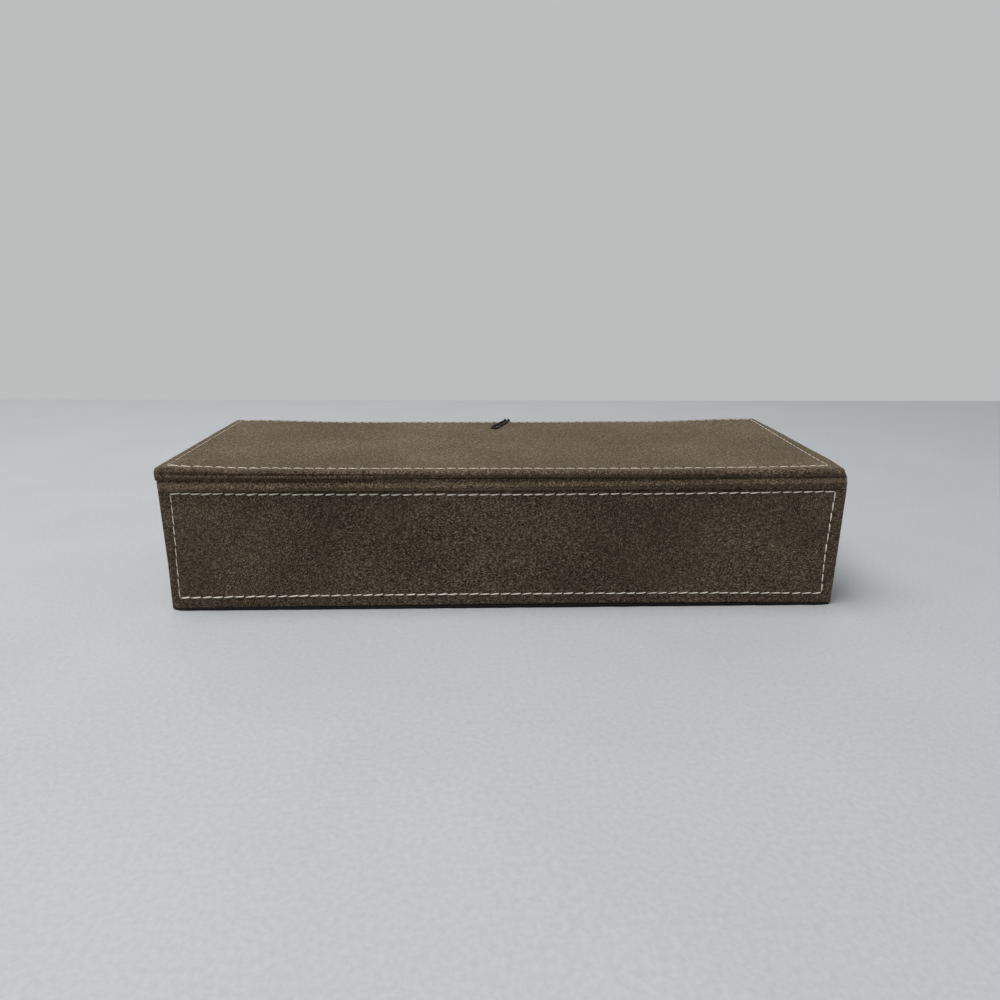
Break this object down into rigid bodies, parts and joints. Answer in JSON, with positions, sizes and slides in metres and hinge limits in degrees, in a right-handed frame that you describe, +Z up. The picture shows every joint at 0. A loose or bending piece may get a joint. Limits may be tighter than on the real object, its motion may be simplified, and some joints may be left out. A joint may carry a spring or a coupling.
{
  "type": "cufflink box with drawer",
  "caption": "Long low suede-covered box with contrast stitching, a hinged lid with a cord loop over a grid of cushioned cells, and a shallow pull-out drawer below.",
  "frame": {"origin": "middle of the underside, on the surface the box stands on", "axes": "+X along the box, +Y to the hinge side, +Z up; the drawer and the lid's loop face -Y"},
  "size_m": [0.2546, 0.1047, 0.058],
  "materials": {
    "suede": "taupe suede with a short mottled nap",
    "thread": "off-white waxed sewing thread",
    "cord": "round dark brown leather cord, satin",
    "velour": "short-pile taupe velour",
    "cushion": "short-pile taupe velour over foam",
    "felt": "pressed felt strip",
    "base_sheet": "black non-woven base sheet",
    "board": "raw grey-brown fibre board"
  },
  "bodies": {
    "case": {"base_sheet": "base_sheet", "floor_board": "board", "back_board": "board", "left_board": "board", "right_board": "board", "front_rail_board": "board", "shelf_board": "board", "back_cover": "suede", "left_cover": "suede", "right_cover": "suede", "front_rail_cover": "suede", "sill_cover": "suede", "back_stitching": "thread", "left_stitching": "thread", "right_stitching": "thread", "front_rail_stitching": "thread", "hinge_strip": "suede", "hinge_tape": "velour", "wall_lining": "velour", "floor_lining": "velour", "bay_lining": "velour", "long_divider": "velour", "cross_divider_1": "velour", "cross_divider_2": "velour", "cross_divider_3": "velour", "cross_divider_4": "velour", "cufflink_cushion_1": "cushion", "cufflink_cushion_2": "cushion", "cufflink_cushion_3": "cushion", "cufflink_cushion_4": "cushion", "cufflink_cushion_5": "cushion", "cufflink_cushion_6": "cushion", "cufflink_cushion_7": "cushion", "cufflink_cushion_8": "cushion", "cufflink_cushion_9": "cushion", "cufflink_cushion_10": "cushion", "drawer_stop_strip": "felt"},
    "lid": {"lid_board": "board", "lid_cover": "suede", "lid_stitching": "thread", "lid_pad_board": "board", "lid_pad": "velour", "lid_hinge_tape": "velour", "lift_loop": "cord"},
    "drawer": {"drawer_front_board": "board", "drawer_front_cover": "suede", "drawer_front_stitching": "thread", "drawer_left_board": "board", "drawer_right_board": "board", "drawer_back_board": "board", "drawer_bottom_board": "board", "drawer_wall_lining": "velour", "drawer_floor_lining": "velour", "drawer_divider_1": "velour", "drawer_divider_2": "velour", "drawer_loop": "cord"}
  },
  "joints": [
    {"name": "lid_hinge", "type": "hinge", "parent": "case", "child": "lid", "pos_m": [0, 0.0505, 0.0505], "axis": [-1, 0, 0], "range_deg": [0, 100]},
    {"name": "drawer_slide", "type": "slide", "parent": "case", "child": "drawer", "axis": [0, -1, 0], "range_m": [0, 0.075]}
  ]
}
